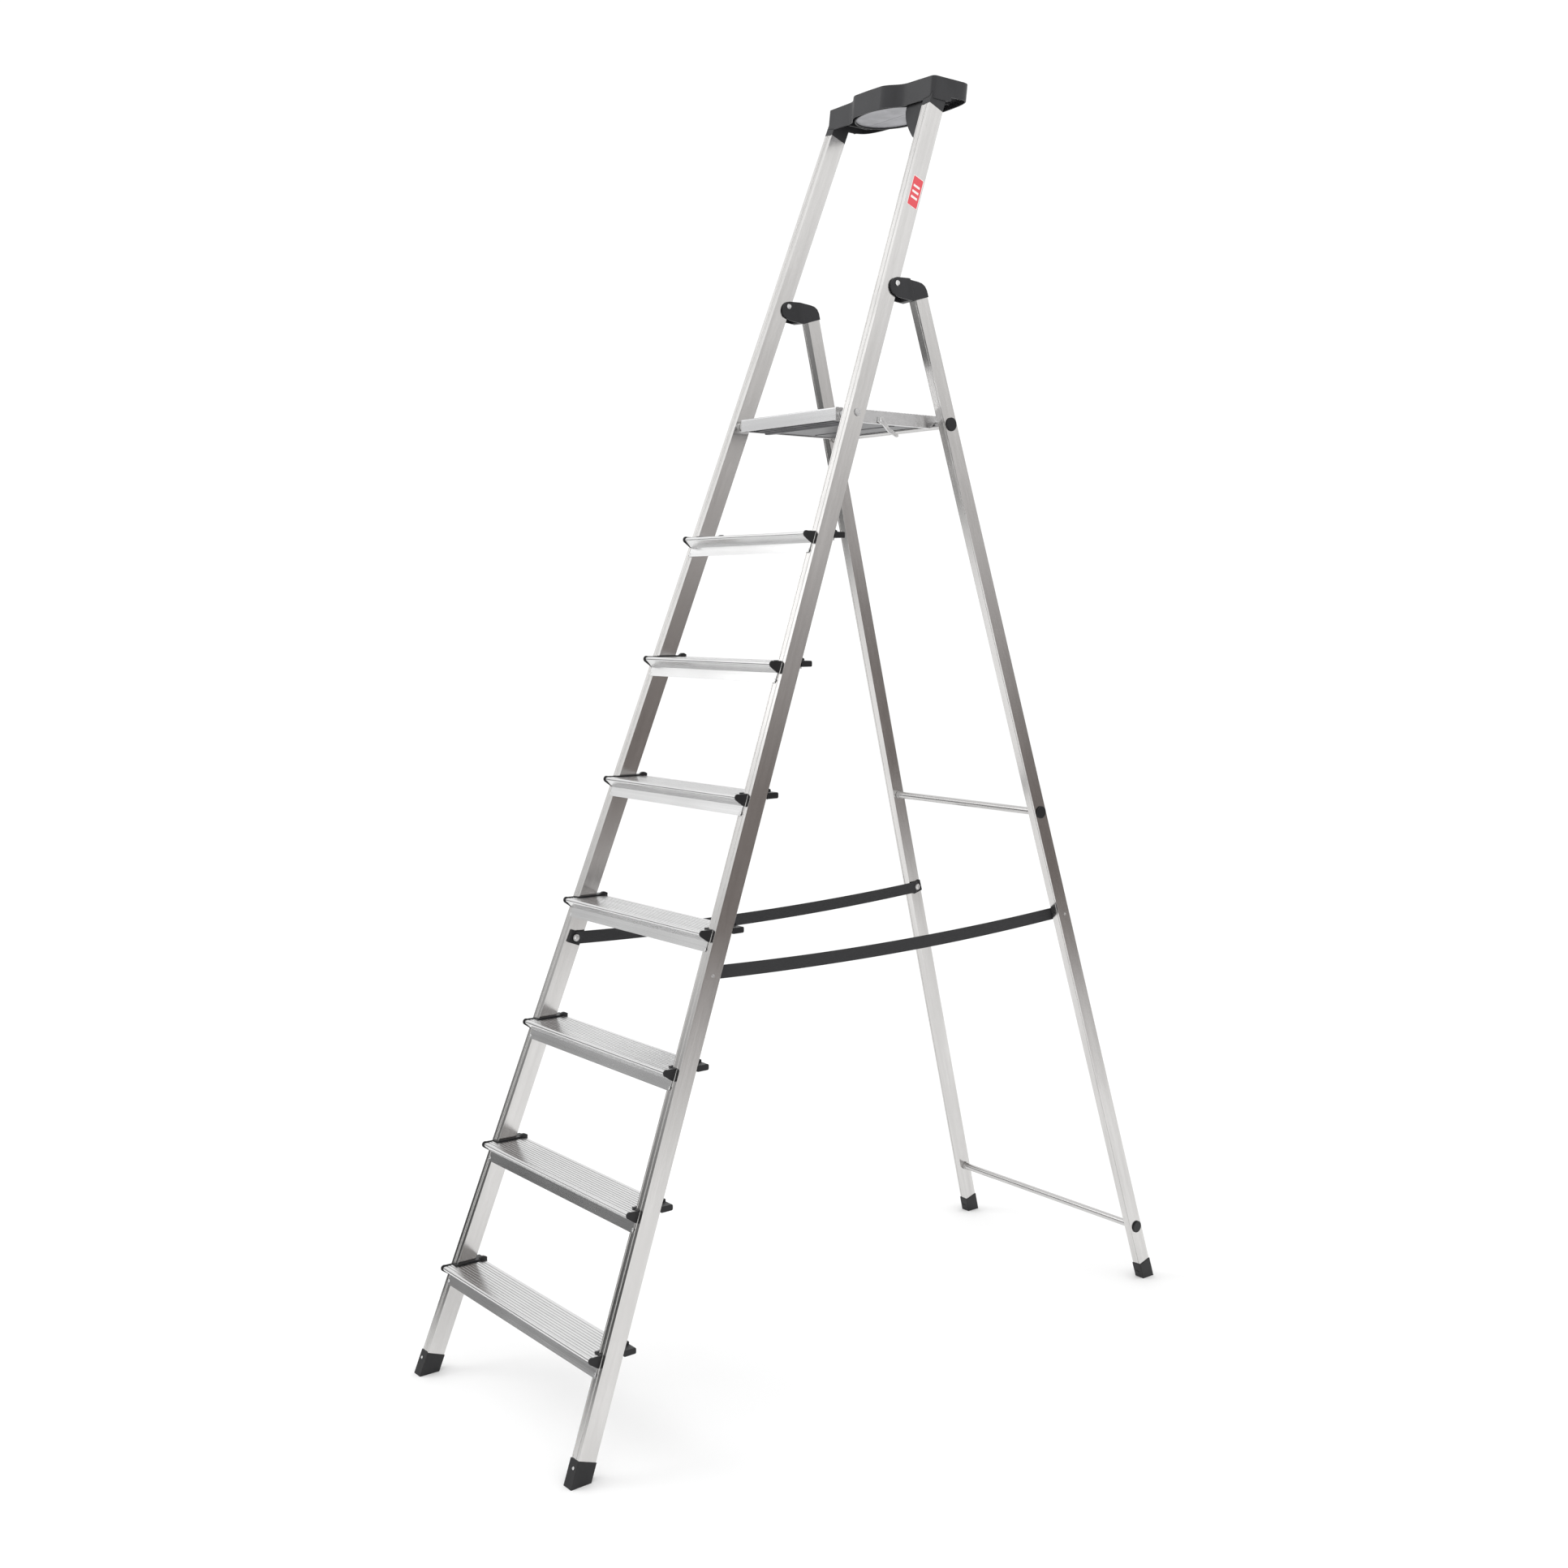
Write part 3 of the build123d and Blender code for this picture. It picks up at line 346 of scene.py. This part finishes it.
def gridPiece(name, points, material, flat=None, closed=False, smooth=True):
    # points is a rows x columns x 3 array; closed joins the last column to the first
    rows, columns = points.shape[:2]
    index = np.arange(rows * columns).reshape(rows, columns)
    right = np.roll(index, -1, axis=1) if closed else index[:, 1:]
    left = index if closed else index[:, :-1]
    quads = np.stack([left[:-1], right[:-1], right[1:], left[1:]], axis=-1).reshape(-1, 4)
    faces = quads.tolist()
    if closed:
        faces += [index[0, ::-1].tolist(), index[-1].tolist()]
    mesh = bpy.data.meshes.new(name)
    mesh.from_pydata(points.reshape(-1, 3).tolist(), [], faces)
    if flat is not None:
        layer = mesh.uv_layers.new(name="flat")
        corner = np.empty(len(mesh.loops), dtype=np.int32)
        mesh.loops.foreach_get("vertex_index", corner)
        layer.data.foreach_set("uv", flat.reshape(-1, 2)[corner].ravel())
    mesh.polygons.foreach_set("use_smooth", [smooth] * len(mesh.polygons))
    mesh.materials.append(material)
    piece = bpy.data.objects.new(name, mesh)
    bpy.context.scene.collection.objects.link(piece)
    return piece


# straps: one band each, its section carried along a shallow hanging curve

strapLook = {"width": 0.025, "thick": 0.0015, "sag": 0.013, "rows": 160, "flutter": 0.0006}


def boxMiddle(name):
    low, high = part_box(name)
    return [(low[i] + high[i]) / 2 for i in range(3)]


def strapPiece(side):
    # height = the line between the bolts less a parabola of the sag; the section, a lozenge
    # with rounded selvedges, is powers of cosine and sine, carried along that line
    low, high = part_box("strap_" + side)
    sign = 1 if side == "right" else -1
    middle = (low[0] + high[0]) / 2
    startY, endY = low[1], high[1]
    startZ = boxMiddle("strap_bolts_front")[2]
    endZ = boxMiddle("strap_bolts_rear")[2]
    t = np.linspace(0, 1, strapLook["rows"])
    y = startY + (endY - startY) * t
    z = startZ + (endZ - startZ) * t - strapLook["sag"] * 4 * t * (1 - t)
    lean = strapLook["flutter"] * np.sin(t * 7.0) * np.sin(math.pi * t)
    a = np.linspace(0, 2 * math.pi, 29)[:-1]
    acrossBand = np.sign(np.cos(a)) * np.abs(np.cos(a)) ** 0.18 * strapLook["width"] / 2
    throughBand = np.sign(np.sin(a)) * np.abs(np.sin(a)) ** 0.45 * strapLook["thick"] / 2
    points = np.empty((len(t), len(a), 3))
    sway = lean[:, None] * (acrossBand[None, :] / strapLook["width"]) * 2
    points[..., 0] = middle + throughBand[None, :] * sign + sway
    points[..., 1] = y[:, None]
    points[..., 2] = z[:, None] + acrossBand[None, :]
    flat = np.empty((len(t), len(a), 2))
    flat[..., 0] = acrossBand[None, :] / strapLook["width"] + 0.5
    flat[..., 1] = t[:, None]
    return gridPiece("strapBand_" + side, points, materials["webbing"], flat, closed=True)


for side in ("right", "left"):
    piece = strapPiece(side)
    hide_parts("strap_" + side)
    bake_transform(piece)
print("straps done")


# sticker: one thin film on the right stile, a grid with its own map
stickerGrid = {"across": 12, "along": 24, "cornerPull": 0.05}


def stickerPiece():
    # a flat box along the stile's own back, up and out directions; each row walks its outer
    # skin and comes back along the inner one, and the width shrinks by a high power near the ends
    mesh = nodes["label"].data
    corners = np.empty(len(mesh.vertices) * 3)
    mesh.vertices.foreach_get("co", corners)
    corners = corners.reshape(-1, 3)
    outer = corners[corners[:, 0] > -1]
    middle = outer.mean(axis=0)
    splay = math.atan(stance["stileSplay"])
    lean = math.radians(stance["stileLean"])
    up = np.array([-math.sin(splay), math.cos(splay) * math.sin(lean), math.cos(splay) * math.cos(lean)])
    back = np.array([0, math.cos(lean), -math.sin(lean)])
    out = np.cross(back, up)
    out = out / np.linalg.norm(out) * np.sign(out[0])
    halfBack = np.abs((outer - middle) @ back).max()
    halfUp = np.abs((outer - middle) @ up).max()
    halfOut = np.abs((outer - middle) @ out).max()
    u = np.linspace(-1, 1, stickerGrid["across"])
    v = np.linspace(-1, 1, stickerGrid["along"])
    ring = np.concatenate([np.stack([u, np.ones_like(u)], 1), np.stack([u[::-1], -np.ones_like(u)], 1)])
    rounding = 1 - stickerGrid["cornerPull"] * np.abs(v[:, None]) ** 14 * np.abs(ring[None, :, 0]) ** 2
    points = (middle + out * (ring[None, :, 1:2] * halfOut) * np.ones((len(v), 1, 1))
              + back * (ring[None, :, 0:1] * halfBack * rounding[..., None])
              + up * (v[:, None, None] * halfUp))
    flat = np.stack([np.broadcast_to(ring[None, :, 0] * 0.5 + 0.5, points.shape[:2]),
                     np.broadcast_to(v[:, None] * 0.5 + 0.5, points.shape[:2])], -1)
    return gridPiece("sideSticker", points, materials["sticker"], flat, closed=True, smooth=False)


piece = stickerPiece()
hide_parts("label")
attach(piece, "front_frame")
print("sticker done")


# room: pale floor, white surroundings, two cards for the metal to reflect, soft lamps

room = {
    "floor": (0.97, 0.97, 0.97), "sky": (1.0, 1.0, 1.0), "strength": 1.06,
    # place, way it runs, half width, bottom, top, darkest height as a share, darkest tone
    "cards": {
        "sideCard": ((1.45, 1.30), (-0.15, 0.99), 2.3, 0.0, 2.9, 0.28, (0.20, 0.175, 0.165)),
        "frontCard": ((-3.2, -2.9), (0.64, -0.77), 2.4, 0.0, 2.9, 0.03, (0.020, 0.020, 0.020)),
    },
}

floorMesh = bpy.data.meshes.new("floor")
floorMesh.from_pydata([(-40, -40, 0), (40, -40, 0), (40, 40, 0), (-40, 40, 0)], [], [(0, 1, 2, 3)])
floor = bpy.data.objects.new("floor", floorMesh)
bpy.context.scene.collection.objects.link(floor)
floorMaterial, floorTree = newMaterial("paleFloor")
floorSpeck = noise(floorTree, objectPlace(floorTree), 3.0, 2.0, 0.5)
closeMaterial(floorTree, {"Base Color": tint(floorTree, floorSpeck * 0.1, room["floor"], (0.95, 0.95, 0.95))},
              {"Roughness": 0.9, "Specular IOR Level": 0.0})
floorMesh.materials.append(floorMaterial)


def studioCard(name):
    # an upright card that only reflections see: pale at its rims, dark in the middle
    (x, y), (alongX, alongY), half, low, high, share, dark = room["cards"][name]
    mesh = bpy.data.meshes.new(name)
    mesh.from_pydata([(-half, 0, low), (half, 0, low), (half, 0, high), (-half, 0, high)], [], [(0, 1, 2, 3)])
    card = bpy.data.objects.new(name, mesh)
    card.location = (x, y, 0)
    card.rotation_euler = (0, 0, math.atan2(alongY, alongX))
    bpy.context.scene.collection.objects.link(card)
    material, tree = newMaterial(name)
    place = objectPlace(tree)
    height = addNode(tree, "ShaderNodeSeparateXYZ", {}, {"Vector": place}, "Z")
    across = addNode(tree, "ShaderNodeSeparateXYZ", {}, {"Vector": place}, "X")
    middle = low + (high - low) * share
    upward = spread(tree, height, middle, high, 1.0, 0.0)
    downward = spread(tree, height, low, middle, 0.0, 1.0)
    outward = addNode(tree, "ShaderNodeMath", {"operation": "ABSOLUTE"}, {0: across})
    sideways = spread(tree, outward, half * 0.6, half, 1.0, 0.0)
    colour = tint(tree, upward * downward * sideways, room["sky"], dark)
    closeMaterial(tree, {"Emission Color": colour},
                  {"Base Color": (0, 0, 0, 1), "Roughness": 1.0, "Specular IOR Level": 0.0,
                   "Emission Strength": room["strength"]})
    mesh.materials.append(material)
    card.visible_camera = card.visible_diffuse = False
    card.visible_shadow = card.visible_transmission = False


for name in room["cards"]:
    studioCard(name)

world = bpy.data.worlds.new("studio")
bpy.context.scene.world = world
world.use_nodes = True
sky = world.node_tree
sky.nodes.clear()
background = addNode(sky, "ShaderNodeBackground", {},
                     {"Color": (*room["sky"], 1), "Strength": room["strength"]})
skyOut = sky.nodes.new("ShaderNodeOutputWorld")
sky.links.new(background.link, skyOut.inputs["Surface"])

lamps = {
    "key": {"place": (-2.6, -3.4, 4.2), "size": 2.6, "power": 40},
    "fill": {"place": (4.6, -1.2, 3.4), "size": 3.2, "power": 12},
}
for name, lamp in lamps.items():
    light = bpy.data.lights.new(name, "AREA")
    light.size, light.energy = lamp["size"], lamp["power"]
    holder = bpy.data.objects.new(name, light)
    holder.location = lamp["place"]
    aim = Vector((0, 0, 1.2)) - Vector(lamp["place"])
    holder.rotation_euler = aim.to_track_quat("-Z", "Y").to_euler()
    bpy.context.scene.collection.objects.link(holder)

view = {"place": (2.6453, -2.1758, 1.4773), "turn": 51.455, "down": 7.853, "lens": 39.50, "shift": 0.0383}
camera = bpy.data.cameras.new("camera")
camera.lens, camera.sensor_width, camera.shift_y = view["lens"], 36.0, view["shift"]
camera.clip_end = 200
cameraObject = bpy.data.objects.new("camera", camera)
cameraObject.location = view["place"]
cameraObject.rotation_euler = (math.radians(90 - view["down"]), 0, math.radians(view["turn"]))
bpy.context.scene.collection.objects.link(cameraObject)
bpy.context.scene.camera = cameraObject
bpy.context.scene.view_settings.view_transform = "Standard"
print("room, lamps and camera set")
